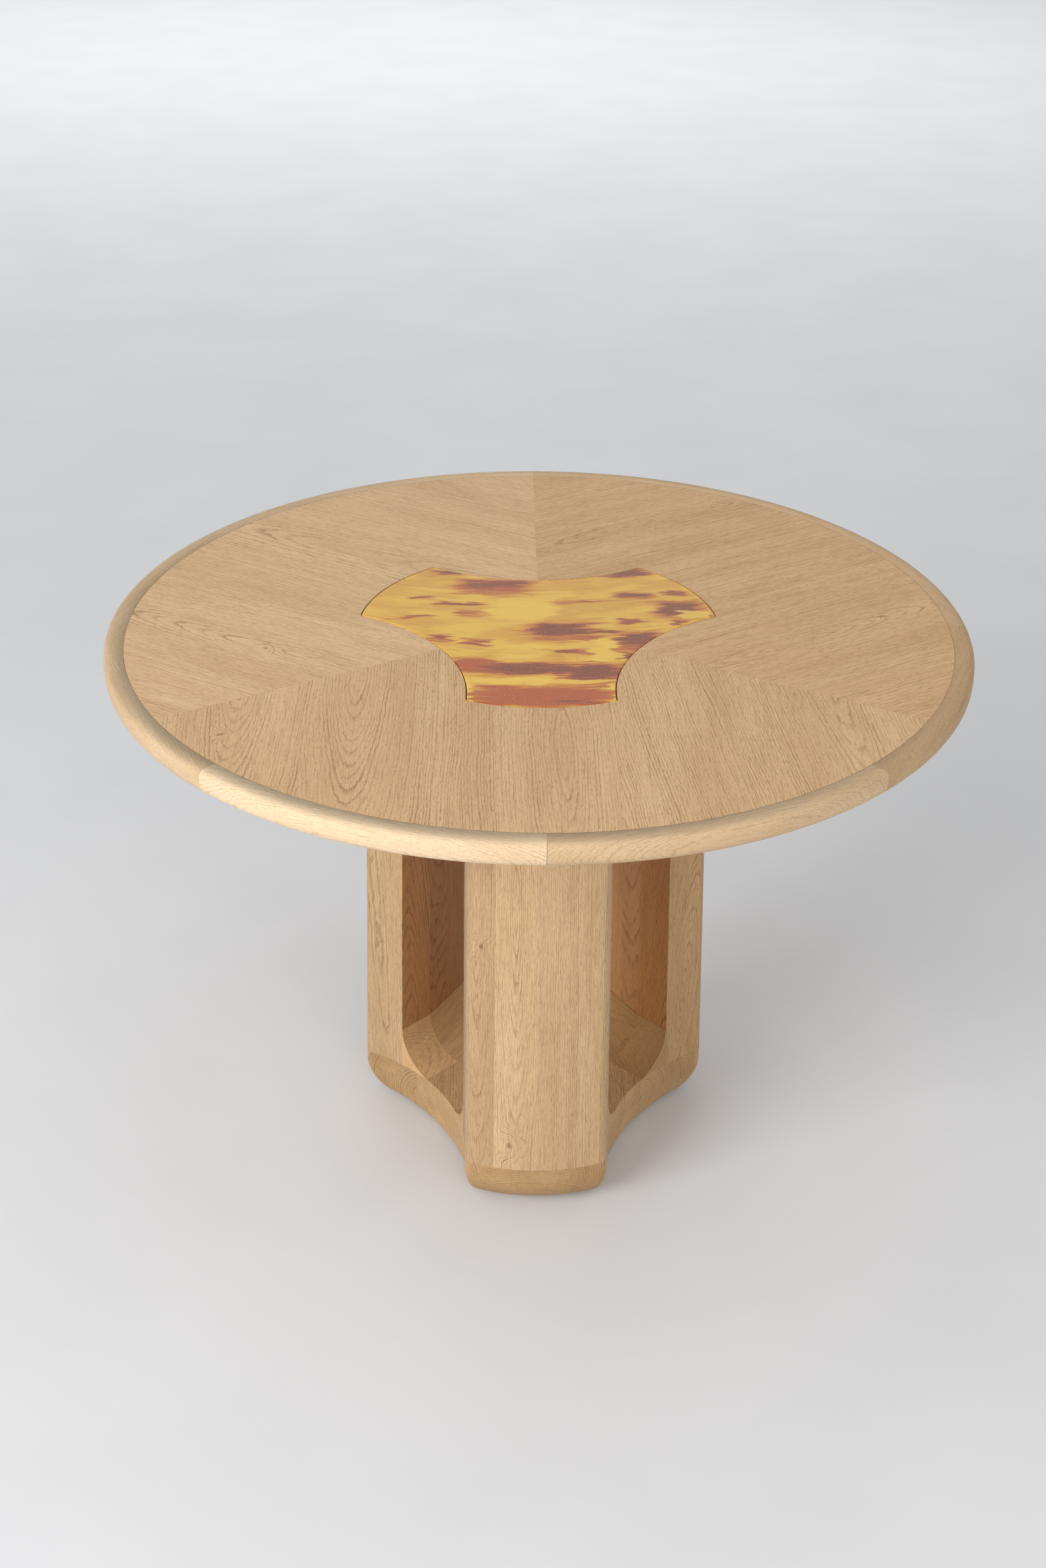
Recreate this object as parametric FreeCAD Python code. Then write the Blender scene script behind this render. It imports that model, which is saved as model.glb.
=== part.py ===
import FreeCAD, Part
import math
import os

# Round oak table on a three-legged pedestal, millimetres, +Z up.
# Origin: floor level on the table's vertical axis. The front leg points along -Y.

# ---- driving dimensions -------------------------------------------------------------
TABLE_HEIGHT = 760.0
TOP_RADIUS = 550.0
TOP_THICKNESS = 32.0

# tabletop
LIPPING_WIDTH = 25.0
LIPPING_COUNT = 8
LIPPING_TOP_ROUND = 7.5
LIPPING_BOTTOM_ROUND = 15.0
FACE_VENEER = 3.0
BALANCE_VENEER = 3.0
SECTOR_COUNT = 3

# glazed inlay: three lobes over the legs, three hollows between them
INLAY_LOBE_RADIUS = 230.6
INLAY_HOLLOW_CENTRE = 388.9
INLAY_HOLLOW_RADIUS = 247.2
INLAY_CORNER_RADIUS = 6.0
INLAY_THICKNESS = 8.0
INLAY_EDGE_ROUND = 1.6
INLAY_GAP = 1.2
BEDDING = 1.0

# pedestal plan, measured where the legs stand on the base
LEG_DIRECTIONS = {"front": 270.0, "right": 30.0, "left": 150.0}
LOBE_RADIUS = 243.5
HOLLOW_CENTRE = 406.0
HOLLOW_RADIUS = 256.0
CORNER_RADIUS = 18.0
OUTER_JOINT = 57.5
INNER_JOINT = 46.5
INNER_FACE = 146.5
SIDE_FACET_TURN = 15.0
ARRIS_ROUND = 1.2
SEAM_CHAMFER = 0.8
TOP_SCALE = 0.931

# cove blocks glued to the inner faces, at the foot of each leg
COVE_HEIGHT = 60.0
COVE_RADIUS = 61.0
COVE_REACH = 54.0
COVE_TOP_EDGE = 0.6

# base slab
BASE_TOP = 70.5
BASE_LOBE_ROUND = 49.0
BASE_HOLLOW_ROUND = 12.0
BASE_CORNER_EASE = 170.0
EDGE_SECTIONS = 9
BASE_BOARD_JOINTS = (-166.0, -60.0, 46.0, 152.0)
PAD_THICKNESS = 3.0
PAD_RADIUS = 20.0
PAD_REACH = 172.0

# fastenings
DOWEL_RADIUS = 6.0
DOWEL_LENGTH = 50.0
SIDE_DOWEL = (200.0, 78.0)
HEAD_DOWEL = (180.0, 26.0)
BASE_BOLT = (178.0, 34.0)
BASE_BOLT_RADIUS = 5.0
BASE_BOLT_LENGTH = 70.0
BASE_BOLT_HEAD = (8.0, 10.0)
BASE_COUNTERBORE = (13.0, 18.0)
BASE_INSERT = (8.0, 25.0)
BLOCK_HEIGHT = 40.0
BLOCK_DOWEL_RADIUS = 5.0
BLOCK_DOWEL_LENGTH = 60.0
BLOCK_DOWEL_OFFSET = 28.0
TOP_BOLT_CIRCLE = 62.0
TOP_BOLT_RADIUS = 4.0
TOP_BOLT_HEAD = (6.5, 8.0)
TOP_INSERT = (6.0, 15.0)
WASHER_THICKNESS = 2.0
BOLT_CLEARANCE = 0.5

# ---- derived dimensions -------------------------------------------------------------
TOP_UNDERSIDE = TABLE_HEIGHT - TOP_THICKNESS
FIELD_RADIUS = TOP_RADIUS - LIPPING_WIDTH
CORE_TOP = TABLE_HEIGHT - FACE_VENEER
CORE_BOTTOM = TOP_UNDERSIDE + BALANCE_VENEER
RECESS_FLOOR = TABLE_HEIGHT - INLAY_THICKNESS - BEDDING
BASE_UNDERSIDE = PAD_THICKNESS
COVE_TOP = BASE_TOP + COVE_HEIGHT
BLOCK_BOTTOM = TOP_UNDERSIDE - BLOCK_HEIGHT
VALLEY_DIRECTIONS = (90.0, 210.0, 330.0)
AXIS = FreeCAD.Vector(0, 0, 1)
ORIGIN = FreeCAD.Vector(0, 0, 0)


# ---- small helpers ------------------------------------------------------------------
def polar(radius, degrees, z=0.0):
    angle = math.radians(degrees)
    return FreeCAD.Vector(radius * math.cos(angle), radius * math.sin(angle), z)


def line(start, end):
    return Part.LineSegment(start, end).toShape()


def arc(centre, start, end):
    """The short circular arc about centre from start to end, all at one height."""
    radius = (start - centre).Length
    middle = (start - centre) + (end - centre)
    middle.normalize()
    return Part.Arc(start, centre + middle * radius, end).toShape()


def turned(shape, degrees):
    copy = shape.copy()
    copy.rotate(ORIGIN, AXIS, degrees)
    return copy


def prism(wire, height):
    return Part.Face(wire).extrude(FreeCAD.Vector(0, 0, height))


def rod(radius, x, y, bottom, top):
    return Part.makeCylinder(radius, top - bottom, FreeCAD.Vector(x, y, bottom), AXIS)


def around(shapes):
    """Each leg-frame shape once for every leg direction."""
    return [turned(shape, angle) for angle in LEG_DIRECTIONS.values() for shape in shapes]


def pair(position):
    """A leg-frame (x, y) position and its mirror image across the leg's middle."""
    return [(position[0], position[1]), (position[0], -position[1])]


def drilled(shape, cutters):
    return shape.cut(Part.makeCompound(cutters)) if cutters else shape


def leg_scale(z):
    """Plan scale of the tapering pedestal at a height."""
    return 1.0 - (1.0 - TOP_SCALE) * (z - BASE_TOP) / (TOP_UNDERSIDE - BASE_TOP)


# ---- the three-lobed outline ----------------------------------------------------------
class Trefoil:
    """Plan outline with three convex lobes and three concave hollows, corners rounded."""

    def __init__(self, lobe, hollow_centre, hollow, corner):
        self.lobe = lobe
        self.hollow_centre = hollow_centre
        self.hollow = hollow
        self.corner = corner

    def scaled(self, factor):
        return Trefoil(self.lobe * factor, self.hollow_centre * factor,
                       self.hollow * factor, self.corner * factor)

    def inset(self, lobe_inset, hollow_inset, flattening=0.0):
        """Smaller outline; flattening moves the hollow's centre out, so its ends retreat more than its middle."""
        return Trefoil(self.lobe - lobe_inset, self.hollow_centre + flattening,
                       self.hollow + hollow_inset + flattening, self.corner)

    def hollow_point(self, side, z):
        return polar(self.hollow_centre, 60.0 * side, z)

    def corner_points(self, side, z):
        """Corner centre, its tangent point on the lobe and its tangent point on the hollow."""
        inner = self.lobe - self.corner
        reach = self.hollow + self.corner
        cosine = (inner ** 2 + self.hollow_centre ** 2 - reach ** 2) / (2 * inner * self.hollow_centre)
        direction = 60.0 - math.degrees(math.acos(cosine))
        centre = polar(inner, side * direction, z)
        towards = self.hollow_point(side, z) - centre
        towards.normalize()
        return centre, polar(self.lobe, side * direction, z), centre + towards * self.corner

    def wire(self, z):
        edges = []
        for turn in LEG_DIRECTIONS.values():
            centre, on_lobe, on_hollow = self.corner_points(1, z)
            centre_low, lobe_low, hollow_low = self.corner_points(-1, z)
            middle = polar(self.hollow_centre - self.hollow, 60.0, z)
            hollow_next = turned_point(hollow_low, 120.0)
            lobe_arc = Part.Arc(lobe_low, polar(self.lobe, 0, z), on_lobe).toShape()
            hollow_arc = Part.Arc(on_hollow, middle, hollow_next).toShape()
            group = [arc(centre_low, hollow_low, lobe_low), lobe_arc,
                     arc(centre, on_lobe, on_hollow), hollow_arc]
            edges += [turned(edge, turn) for edge in group]
        return Part.Wire(Part.__sortEdges__(edges))


def turned_point(point, degrees):
    return FreeCAD.Rotation(AXIS, degrees).multVec(point)


INLAY_PLAN = Trefoil(INLAY_LOBE_RADIUS, INLAY_HOLLOW_CENTRE, INLAY_HOLLOW_RADIUS, INLAY_CORNER_RADIUS)
LEG_PLAN = Trefoil(LOBE_RADIUS, HOLLOW_CENTRE, HOLLOW_RADIUS, CORNER_RADIUS)


# ---- tabletop -----------------------------------------------------------------------
def top_holes():
    """Bolt and dowel holes that enter the tabletop from below."""
    holes = []
    for angle in VALLEY_DIRECTIONS:
        spot = polar(TOP_BOLT_CIRCLE, angle)
        holes.append(rod(TOP_BOLT_RADIUS, spot.x, spot.y, TOP_UNDERSIDE, CORE_BOTTOM))
        holes.append(rod(TOP_INSERT[0], spot.x, spot.y, CORE_BOTTOM, CORE_BOTTOM + TOP_INSERT[1]))
    return holes + head_dowels()


def recess(bottom, top):
    return prism(INLAY_PLAN.inset(-INLAY_GAP, -INLAY_GAP).wire(bottom), top - bottom)


def make_core():
    disc = rod(FIELD_RADIUS, 0, 0, CORE_BOTTOM, CORE_TOP)
    return drilled(disc, [recess(RECESS_FLOOR, TABLE_HEIGHT)] + top_holes())


def make_balance_veneer():
    disc = rod(FIELD_RADIUS, 0, 0, TOP_UNDERSIDE, CORE_BOTTOM)
    return drilled(disc, top_holes())


def make_face_veneer(start):
    sweep = 360.0 / SECTOR_COUNT
    sector = Part.makeCylinder(FIELD_RADIUS, FACE_VENEER, FreeCAD.Vector(0, 0, CORE_TOP), AXIS, sweep)
    return turned(sector, start).cut(recess(RECESS_FLOOR, TABLE_HEIGHT))


def lipping_section():
    inner = FIELD_RADIUS
    low = LIPPING_BOTTOM_ROUND
    high = LIPPING_TOP_ROUND
    corners = [(inner, TOP_UNDERSIDE), (TOP_RADIUS - low, TOP_UNDERSIDE),
               (TOP_RADIUS, TOP_UNDERSIDE + low), (TOP_RADIUS, TABLE_HEIGHT - high),
               (TOP_RADIUS - high, TABLE_HEIGHT), (inner, TABLE_HEIGHT)]
    points = [FreeCAD.Vector(radius, 0, z) for radius, z in corners]
    low_centre = FreeCAD.Vector(TOP_RADIUS - low, 0, TOP_UNDERSIDE + low)
    high_centre = FreeCAD.Vector(TOP_RADIUS - high, 0, TABLE_HEIGHT - high)
    edges = [line(points[0], points[1]), arc(low_centre, points[1], points[2]),
             line(points[2], points[3]), arc(high_centre, points[3], points[4]),
             line(points[4], points[5]), line(points[5], points[0])]
    return Part.Face(Part.Wire(edges))


def make_lipping(index):
    sweep = 360.0 / LIPPING_COUNT
    return turned(lipping_section().revolve(ORIGIN, AXIS, sweep), index * sweep)


def make_inlay():
    plate = prism(INLAY_PLAN.wire(RECESS_FLOOR + BEDDING), INLAY_THICKNESS)
    top_edges = [edge for edge in plate.Edges if edge.BoundBox.ZMin > TABLE_HEIGHT - 0.01]
    return plate.makeFillet(INLAY_EDGE_ROUND, top_edges)


def make_bedding():
    return prism(INLAY_PLAN.wire(RECESS_FLOOR), BEDDING)


# ---- pedestal: staves and cove blocks, in the leg's own frame (+X outwards) ------------
def arris(plan, side, offset, face, z):
    """Where a line parallel to the side facet, offset inwards, meets the hollow wall."""
    turn = math.radians(SIDE_FACET_TURN)
    start = FreeCAD.Vector(face, side * INNER_JOINT * plan.lobe / LOBE_RADIUS, z)
    along = FreeCAD.Vector(math.sin(turn), side * math.cos(turn), 0)
    inward = FreeCAD.Vector(-math.cos(turn), side * math.sin(turn), 0)
    start = start + inward * offset
    to_start = start - plan.hollow_point(side, z)
    half = to_start.dot(along)
    root = math.sqrt(half ** 2 - to_start.dot(to_start) + plan.hollow ** 2)
    return start + along * (-half - root)


def lobe_point(plan, y, z):
    return FreeCAD.Vector(math.sqrt(plan.lobe ** 2 - y ** 2), y, z)


def middle_stave_wire(side, z):
    scale = leg_scale(z)
    plan = LEG_PLAN.scaled(scale)
    face = INNER_FACE * scale
    axis = FreeCAD.Vector(0, 0, z)
    points = [FreeCAD.Vector(face, 0, z), lobe_point(plan, 0, z),
              lobe_point(plan, side * OUTER_JOINT * scale, z),
              FreeCAD.Vector(face, side * INNER_JOINT * scale, z)]
    edges = [line(points[0], points[1]), arc(axis, points[1], points[2]),
             line(points[2], points[3]), line(points[3], points[0])]
    return Part.Wire(edges)


def side_stave_wire(side, z):
    scale = leg_scale(z)
    plan = LEG_PLAN.scaled(scale)
    face = INNER_FACE * scale
    axis = FreeCAD.Vector(0, 0, z)
    inner = FreeCAD.Vector(face, side * INNER_JOINT * scale, z)
    outer = lobe_point(plan, side * OUTER_JOINT * scale, z)
    centre, on_lobe, on_hollow = plan.corner_points(side, z)
    edge = arris(plan, side, 0.0, face, z)
    hollow = plan.hollow_point(side, z)
    edges = [line(inner, outer), arc(axis, outer, on_lobe), arc(centre, on_lobe, on_hollow),
             arc(hollow, on_hollow, edge), line(edge, inner)]
    return Part.Wire(edges)


def middle_cove_wire(z):
    scale = leg_scale(z)
    face = INNER_FACE * scale
    half = INNER_JOINT * scale
    reach = COVE_REACH * scale
    spread = half + reach * math.tan(math.radians(SIDE_FACET_TURN / 2))
    corners = [(face, -half), (face, half), (face - reach, spread), (face - reach, -spread)]
    points = [FreeCAD.Vector(x, y, z) for x, y in corners]
    return Part.makePolygon(points + points[:1])


def side_cove_wire(side, z):
    scale = leg_scale(z)
    plan = LEG_PLAN.scaled(scale)
    face = INNER_FACE * scale
    reach = COVE_REACH * scale
    half = side * INNER_JOINT * scale
    inner = FreeCAD.Vector(face, half, z)
    edge = arris(plan, side, 0.0, face, z)
    tip = arris(plan, side, reach, face, z)
    spread = half + side * reach * math.tan(math.radians(SIDE_FACET_TURN / 2))
    mitre = FreeCAD.Vector(face - reach, spread, z)
    edges = [line(inner, edge), arc(plan.hollow_point(side, z), edge, tip), line(tip, mitre),
             line(mitre, inner)]
    return Part.Wire(edges)


def cove_cutter(side):
    """Horizontal cylinder that hollows a cove block; side 0 is the middle block."""
    scale = leg_scale(COVE_TOP)
    turn = math.radians(SIDE_FACET_TURN * abs(side))
    along = FreeCAD.Vector(math.sin(turn), math.cos(turn) * (side or 1), 0)
    inward = FreeCAD.Vector(-math.cos(turn), math.sin(turn) * side, 0)
    start = FreeCAD.Vector(INNER_FACE * scale, side * INNER_JOINT * scale, COVE_TOP)
    length = 4 * INNER_JOINT
    base = start + inward * (COVE_RADIUS + COVE_TOP_EDGE) - along * (length / 2)
    return Part.makeCylinder(COVE_RADIUS, length, base, along)


def ruled(section, bottom, top):
    return Part.makeLoft([section(bottom), section(top)], True, True)


def eased_wall(stave, side):
    """Side stave with its upright arris against the inner faces rounded."""
    corner = arris(LEG_PLAN, side, 0.0, INNER_FACE, BASE_TOP)
    upright = [edge for edge in stave.Edges if edge.BoundBox.ZLength > 1.0
               and any((vertex.Point - corner).Length < 0.1 for vertex in edge.Vertexes)]
    return stave.makeFillet(ARRIS_ROUND, upright)


def eased_foot(stave):
    """Stave with the lower edge of its curved outer faces chamfered."""
    low = [edge for edge in stave.Edges if edge.BoundBox.ZMax < BASE_TOP + 0.01
           and edge.Length > 2 * ARRIS_ROUND and edge.Curve.TypeId != "Part::GeomLine"]
    return stave.makeChamfer(SEAM_CHAMFER, low)


def make_stave(number):
    """Staves 1 to 4 run from the leg's -Y side to its +Y side."""
    side = -1 if number < 3 else 1
    if number in (1, 4):
        stave = ruled(lambda z: side_stave_wire(side, z), BASE_TOP, TOP_UNDERSIDE)
        x, y = SIDE_DOWEL
        holes = [rod(DOWEL_RADIUS, x, side * y, BASE_TOP, BASE_TOP + DOWEL_LENGTH / 2)]
        return drilled(eased_foot(eased_wall(stave, side)), holes)
    stave = ruled(lambda z: middle_stave_wire(side, z), BASE_TOP, TOP_UNDERSIDE)
    x, y = HEAD_DOWEL
    bolt_x, bolt_y = BASE_BOLT
    holes = [rod(DOWEL_RADIUS, x, side * y, TOP_UNDERSIDE - DOWEL_LENGTH / 2, TOP_UNDERSIDE),
             rod(BASE_INSERT[0], bolt_x, side * bolt_y, BASE_TOP, BASE_TOP + BASE_INSERT[1]),
             block_dowel(side)]
    return drilled(eased_foot(stave), holes)


def make_cove(side):
    section = middle_cove_wire if side == 0 else (lambda z: side_cove_wire(side, z))
    return ruled(section, BASE_TOP, COVE_TOP).cut(cove_cutter(side))


# ---- head block and its fastenings -----------------------------------------------------
def block_dowel(side):
    height = TOP_UNDERSIDE - BLOCK_HEIGHT / 2
    middle = INNER_FACE * leg_scale(height)
    start = FreeCAD.Vector(middle - BLOCK_DOWEL_LENGTH / 2, side * BLOCK_DOWEL_OFFSET, height)
    return Part.makeCylinder(BLOCK_DOWEL_RADIUS, BLOCK_DOWEL_LENGTH, start, FreeCAD.Vector(1, 0, 0))


def block_dowels():
    return around([block_dowel(-1), block_dowel(1)])


def head_dowels():
    rods = [rod(DOWEL_RADIUS, x, y, TOP_UNDERSIDE - DOWEL_LENGTH / 2, CORE_BOTTOM + TOP_INSERT[1])
            for x, y in pair(HEAD_DOWEL)]
    return around(rods)


def block_wire(z):
    scale = leg_scale(z)
    points = []
    for angle in sorted(LEG_DIRECTIONS.values()):
        for side in (-1, 1):
            corner = FreeCAD.Vector(INNER_FACE * scale, side * INNER_JOINT * scale, z)
            points.append(turned_point(corner, angle))
    return Part.makePolygon(points + points[:1])


def make_head_block():
    holes = block_dowels()
    for angle in VALLEY_DIRECTIONS:
        spot = polar(TOP_BOLT_CIRCLE, angle)
        holes.append(rod(TOP_BOLT_RADIUS + BOLT_CLEARANCE, spot.x, spot.y, BLOCK_BOTTOM, TOP_UNDERSIDE))
    return drilled(ruled(block_wire, BLOCK_BOTTOM, TOP_UNDERSIDE), holes)


def cap_screw(radius, head, x, y, seat, tip):
    """Socket cap screw standing up from its seat."""
    shank = rod(radius, x, y, seat, tip)
    cap = rod(head[0], x, y, seat - head[1], seat)
    socket = rod(radius * 0.6, x, y, seat - head[1], seat - head[1] / 2)
    return cap.fuse(shank).removeSplitter().cut(socket)


def ring(outer, inner, x, y, bottom, top):
    return rod(outer, x, y, bottom, top).cut(rod(inner, x, y, bottom, top))


def top_fastenings():
    bolts = []
    washers = []
    inserts = []
    seat = BLOCK_BOTTOM - WASHER_THICKNESS
    for angle in VALLEY_DIRECTIONS:
        spot = polar(TOP_BOLT_CIRCLE, angle)
        tip = CORE_BOTTOM + TOP_INSERT[1] - WASHER_THICKNESS
        bolts.append(cap_screw(TOP_BOLT_RADIUS, TOP_BOLT_HEAD, spot.x, spot.y, seat, tip))
        washers.append(ring(TOP_BOLT_HEAD[0] * 1.5, TOP_BOLT_RADIUS, spot.x, spot.y, seat, BLOCK_BOTTOM))
        inserts.append(ring(TOP_INSERT[0], TOP_BOLT_RADIUS, spot.x, spot.y, CORE_BOTTOM,
                            CORE_BOTTOM + TOP_INSERT[1]))
    return bolts, washers, inserts


# ---- base ---------------------------------------------------------------------------
def base_fastenings():
    bolts = []
    washers = []
    inserts = []
    seat = BASE_UNDERSIDE + BASE_COUNTERBORE[1]
    head = seat - WASHER_THICKNESS
    for x, y in pair(BASE_BOLT):
        bolts.append(cap_screw(BASE_BOLT_RADIUS, BASE_BOLT_HEAD, x, y, head, head + BASE_BOLT_LENGTH))
        washers.append(ring(BASE_COUNTERBORE[0] - 1.0, BASE_BOLT_RADIUS, x, y, head, seat))
        inserts.append(ring(BASE_INSERT[0], BASE_BOLT_RADIUS, x, y, BASE_TOP, BASE_TOP + BASE_INSERT[1]))
    return around(bolts), around(washers), around(inserts)


def base_dowels():
    half = DOWEL_LENGTH / 2
    rods = [rod(DOWEL_RADIUS, x, y, BASE_TOP - half, BASE_TOP + half) for x, y in pair(SIDE_DOWEL)]
    return around(rods)


def base_holes():
    holes = []
    seat = BASE_UNDERSIDE + BASE_COUNTERBORE[1]
    for x, y in pair(BASE_BOLT):
        holes.append(rod(BASE_BOLT_RADIUS + BOLT_CLEARANCE, x, y, seat, BASE_TOP))
        holes.append(rod(BASE_COUNTERBORE[0], x, y, BASE_UNDERSIDE, seat))
    return around(holes) + base_dowels()


def quarter_round(radius, height):
    """Inset of a quarter-round lower edge at a height above the underside."""
    drop = max(radius - height, 0.0)
    return radius - math.sqrt(radius ** 2 - drop ** 2)


def make_base_slab():
    """Slab whose lobes end in a large quarter round below; the hollows are eased, more so near the corners."""
    shoulder = BASE_UNDERSIDE + BASE_LOBE_ROUND
    sections = []
    for step in range(EDGE_SECTIONS + 1):
        angle = math.radians(90.0 * step / EDGE_SECTIONS)
        height = BASE_LOBE_ROUND * (1 - math.cos(angle))
        depth = quarter_round(BASE_LOBE_ROUND, height)
        plan = LEG_PLAN.inset(depth, quarter_round(BASE_HOLLOW_ROUND, height),
                              BASE_CORNER_EASE * depth / BASE_LOBE_ROUND)
        sections.append(plan.wire(BASE_UNDERSIDE + height))
    lower = Part.makeLoft(sections, True, False)
    upper = prism(sections[-1], BASE_TOP - shoulder)
    top_edges = [edge for edge in upper.Edges if edge.BoundBox.ZMin > BASE_TOP - 0.01]
    return upper.makeChamfer(SEAM_CHAMFER, top_edges).fuse(lower)


def make_base_boards():
    slab = drilled(make_base_slab(), base_holes())
    limits = (-TOP_RADIUS,) + BASE_BOARD_JOINTS + (TOP_RADIUS,)
    boards = []
    for left, right in zip(limits, limits[1:]):
        corner = FreeCAD.Vector(left, -TOP_RADIUS, 0)
        boards.append(slab.common(Part.makeBox(right - left, 2 * TOP_RADIUS, BASE_TOP, corner)))
    return boards


def make_pad(angle):
    return turned(rod(PAD_RADIUS, PAD_REACH, 0, 0, PAD_THICKNESS), angle)


# ---- output -------------------------------------------------------------------------
def export(name, shape):
    shape.exportStep(os.path.join("parts", name + ".step"))
    print(name, len(shape.Solids), "solid(s)", round(shape.Volume / 1000.0, 2), "cm3", shape.isValid())


def export_group(name, shapes):
    export(name, Part.makeCompound(shapes))


def export_top():
    export("top_core", make_core())
    export("balance_veneer", make_balance_veneer())
    for name, start in (("right", 330.0), ("left", 90.0), ("front", 210.0)):
        export("face_veneer_" + name, make_face_veneer(start))
    for index in range(LIPPING_COUNT):
        export("lipping_%d" % (index + 1), make_lipping(index))
    export("inlay_panel", make_inlay())
    export("inlay_bedding", make_bedding())


def export_pedestal():
    for leg, angle in LEG_DIRECTIONS.items():
        for number in (1, 2, 3, 4):
            export("leg_%s_stave_%d" % (leg, number), turned(make_stave(number), angle))
        for place, side in (("a", -1), ("b", 0), ("c", 1)):
            export("leg_%s_cove_%s" % (leg, place), turned(make_cove(side), angle))
        export("pad_" + leg, make_pad(angle))
    export("head_block", make_head_block())
    export_group("head_dowels", head_dowels())
    export_group("block_dowels", block_dowels())
    for name, shapes in zip(("top_bolts", "top_washers", "top_inserts"), top_fastenings()):
        export_group(name, shapes)


def export_base():
    for index, board in enumerate(make_base_boards()):
        export("base_board_%d" % (index + 1), board)
    export_group("base_dowels", base_dowels())
    for name, shapes in zip(("base_bolts", "base_washers", "base_inserts"), base_fastenings()):
        export_group(name, shapes)


os.makedirs("parts", exist_ok=True)
export_top()
export_pedestal()
export_base()
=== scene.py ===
"""Looks of a round oak pedestal table with a glazed inlay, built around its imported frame."""

import logging
import math
from dataclasses import dataclass, field, fields
from enum import Enum

import bmesh
import bpy
from mathutils import Matrix, Vector


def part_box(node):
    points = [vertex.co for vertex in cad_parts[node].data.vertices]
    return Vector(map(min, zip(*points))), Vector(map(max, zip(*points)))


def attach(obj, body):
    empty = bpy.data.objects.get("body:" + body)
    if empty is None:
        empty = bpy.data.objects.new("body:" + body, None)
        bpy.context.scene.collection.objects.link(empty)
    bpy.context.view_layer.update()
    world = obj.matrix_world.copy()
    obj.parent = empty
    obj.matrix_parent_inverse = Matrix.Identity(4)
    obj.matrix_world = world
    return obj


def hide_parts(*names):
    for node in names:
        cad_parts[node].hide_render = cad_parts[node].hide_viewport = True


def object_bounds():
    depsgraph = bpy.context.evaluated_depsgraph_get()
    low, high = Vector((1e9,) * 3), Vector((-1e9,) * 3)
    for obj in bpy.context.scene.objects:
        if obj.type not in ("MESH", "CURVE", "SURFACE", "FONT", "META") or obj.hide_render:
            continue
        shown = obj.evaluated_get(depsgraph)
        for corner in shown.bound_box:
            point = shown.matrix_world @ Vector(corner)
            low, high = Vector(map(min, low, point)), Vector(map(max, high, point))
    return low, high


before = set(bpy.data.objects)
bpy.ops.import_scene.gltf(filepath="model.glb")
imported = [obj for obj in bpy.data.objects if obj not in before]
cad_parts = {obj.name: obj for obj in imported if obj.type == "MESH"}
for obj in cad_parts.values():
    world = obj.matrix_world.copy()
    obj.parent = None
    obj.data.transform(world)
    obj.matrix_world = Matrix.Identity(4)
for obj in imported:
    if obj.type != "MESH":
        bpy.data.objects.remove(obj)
CAD_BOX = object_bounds()

LOG = logging.getLogger("table")
MM = 0.001

Colour = tuple[float, float, float]
Triple = tuple[float, float, float]


class Slot(Enum):
    """Material slots of the record, one for each kind of new piece."""

    LIPPING = "oak_lipping"
    STEEL = "zinc_steel"


class Leg(Enum):
    """The three legs, each with the direction that it faces, in degrees from +X."""

    FRONT = ("front", 270.0)
    RIGHT = ("right", 30.0)
    LEFT = ("left", 150.0)

    @property
    def title(self) -> str:
        """Name of the leg as the frame's nodes spell it."""
        return self.value[0]

    @property
    def outward(self) -> Vector:
        """Unit vector that points away from the table's axis along the leg's middle."""
        return heading(self.value[1])


def heading(degrees: float) -> Vector:
    """Horizontal unit vector at an angle from +X."""
    return Vector((math.cos(math.radians(degrees)), math.sin(math.radians(degrees)), 0.0))


# ---- node trees as Python expressions ---------------------------------------------------
class Signal:
    """One output socket of a node tree; arithmetic on it adds the tree's Math nodes."""

    def __init__(self, graph: "Graph", socket: bpy.types.NodeSocket) -> None:
        """Wraps a socket of a graph."""
        self.graph = graph
        self.socket = socket

    def __add__(self, other: "Number") -> "Signal":
        """Sum with a signal or a number."""
        return self.graph.math("ADD", self, other)

    def __sub__(self, other: "Number") -> "Signal":
        """Difference from a signal or a number."""
        return self.graph.math("SUBTRACT", self, other)

    def __mul__(self, other: "Number") -> "Signal":
        """Product with a signal or a number."""
        return self.graph.math("MULTIPLY", self, other)

    def __truediv__(self, other: "Number") -> "Signal":
        """Quotient by a signal or a number."""
        return self.graph.math("DIVIDE", self, other)

    def __radd__(self, other: float) -> "Signal":
        """Sum with a number on the left."""
        return self.graph.math("ADD", other, self)

    def __rsub__(self, other: float) -> "Signal":
        """Number on the left less this signal."""
        return self.graph.math("SUBTRACT", other, self)

    def __rmul__(self, other: float) -> "Signal":
        """Product with a number on the left."""
        return self.graph.math("MULTIPLY", other, self)

    def apply(self, operation: str, other: "Number" = 0.0) -> "Signal":
        """Any other Math operation on this signal."""
        return self.graph.math(operation, self, other)


Number = Signal | float
Value = Signal | float | int | str | bool | tuple | bpy.types.Material


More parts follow.
